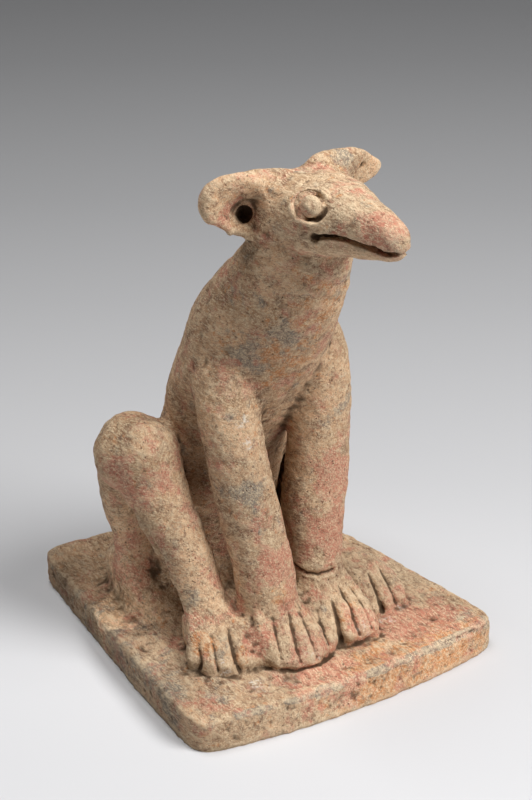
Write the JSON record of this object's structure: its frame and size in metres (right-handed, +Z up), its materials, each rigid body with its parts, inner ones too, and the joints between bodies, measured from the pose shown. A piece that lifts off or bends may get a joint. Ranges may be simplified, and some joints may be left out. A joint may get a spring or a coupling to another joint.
{
  "type": "seated dog figure",
  "caption": "Seated dog with a long pointed muzzle and round cupped ears, modelled in fired clay on a tapered flat slab.",
  "frame": {"origin": "middle of the slab's flat underside", "axes": "+Z up from the underside, -Y towards the dog's nose, -X towards the dog's right side"},
  "size_m": [0.1361, 0.1666, 0.1992],
  "materials": {
    "earthenware": "matt fired earthenware, buff with pink and grey patches"
  },
  "bodies": {
    "root": {"seated_dog": "earthenware"}
  },
  "joints": []
}
